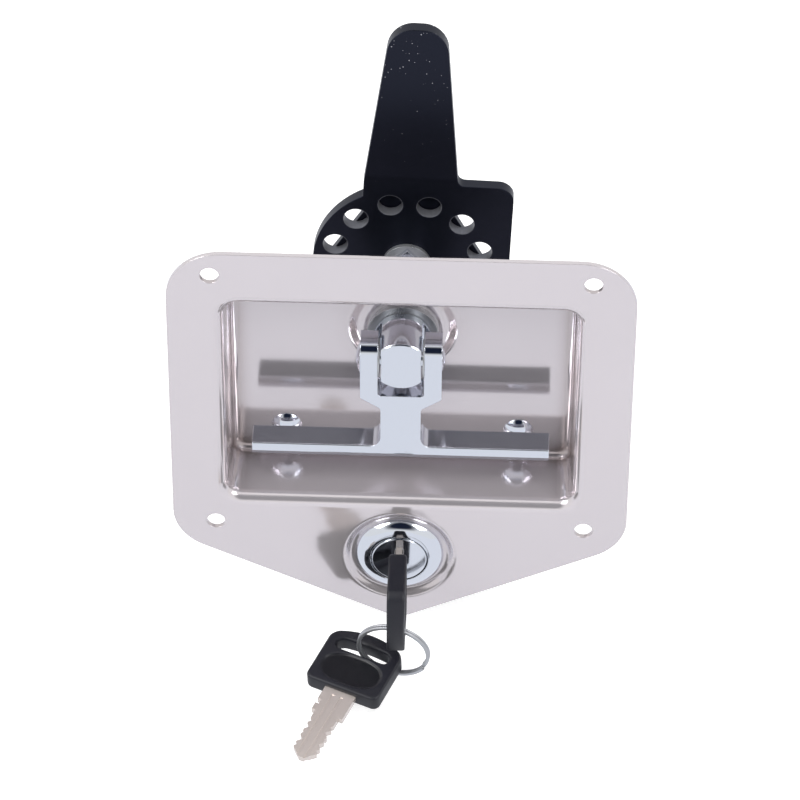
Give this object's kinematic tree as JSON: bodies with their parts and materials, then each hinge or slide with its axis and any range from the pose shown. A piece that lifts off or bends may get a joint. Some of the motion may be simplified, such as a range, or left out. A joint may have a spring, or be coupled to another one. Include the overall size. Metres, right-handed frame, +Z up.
{
  "type": "trailer door latch",
  "caption": "Recessed folding T-handle trailer door latch: stainless pan, chrome T-handle on a spindle, perforated black cam behind, key cylinder below with keys on a ring.",
  "frame": {"origin": "centre of the four flange holes, on the flange's rear face, which lies on the door", "axes": "X to the right seen from outside, Y into the door, Z up the door"},
  "size_m": [0.1416, 0.1298, 0.1882],
  "materials": {
    "stainless_sheet": "satin",
    "chrome_plate": "polished",
    "zinc_plate": "satin",
    "nickel_plate": "polished",
    "black_enamel": "gloss",
    "black_plastic": "matte"
  },
  "bodies": {
    "housing": {"pan": "stainless_sheet", "guide_bracket": "zinc_plate", "bracket_rivets": "chrome_plate", "spindle_bush": "zinc_plate", "bush_nut": "zinc_plate", "lock_body": "chrome_plate", "lock_nut": "zinc_plate"},
    "spindle_body": {"spindle": "chrome_plate", "thrust_washer": "zinc_plate", "lock_disc": "zinc_plate", "retaining_clip": "zinc_plate", "cam_washer": "zinc_plate", "latch_cam": "black_enamel", "backing_plate": "black_enamel", "spring_washer": "zinc_plate", "cam_bolt": "zinc_plate"},
    "handle_body": {"t_handle": "chrome_plate", "hinge_pin": "chrome_plate", "friction_washers": "zinc_plate"},
    "lock_core": {"lock_plug": "chrome_plate", "lock_wafers": "nickel_plate", "lock_crank": "zinc_plate", "crank_screw": "zinc_plate"},
    "bar_body": {"lock_bar": "zinc_plate"},
    "key_body": {"key_blade": "nickel_plate", "key_bow": "black_plastic"},
    "ring_body": {"key_ring": "zinc_plate"},
    "spare_body": {"spare_blade": "nickel_plate", "spare_bow": "black_plastic"}
  },
  "joints": [
    {"name": "handle_fold", "type": "hinge", "parent": "spindle_body", "child": "handle_body", "pos_m": [0, 0.00515, 0.01365], "axis": [-1, 0, 0], "range_deg": [0, 90]},
    {"name": "spindle_turn", "type": "hinge", "parent": "housing", "child": "spindle_body", "pos_m": [0, 0, 0.01365], "axis": [0, 1, 0], "range_deg": [0, 90]},
    {"name": "key_turn", "type": "hinge", "parent": "housing", "child": "lock_core", "pos_m": [0, 0, -0.0626], "axis": [0, 1, 0], "range_deg": [0, 90]},
    {"name": "bar_slide", "type": "slide", "parent": "housing", "child": "bar_body", "axis": [0, 0, 1], "range_m": [0, 0.0121]},
    {"name": "key_withdraw", "type": "slide", "parent": "lock_core", "child": "key_body", "axis": [0, -1, 0], "range_m": [0, 0.034]},
    {"name": "ring_swing", "type": "hinge", "parent": "key_body", "child": "ring_body", "pos_m": [0, -0.0292, -0.0678], "axis": [1, 0, 0], "range_deg": [-25, 8]},
    {"name": "spare_swing", "type": "hinge", "parent": "ring_body", "child": "spare_body", "pos_m": [-0.00849, -0.02444, -0.08625], "axis": [-0.6986, 0.0265, 0.7151], "range_deg": [-12, 12]}
  ],
  "couplings": [
    {"joint": "spindle_turn", "follows": "handle_fold", "ratio": 1},
    {"joint": "bar_slide", "follows": "key_turn", "m_per_rad": 0.0076527}
  ]
}
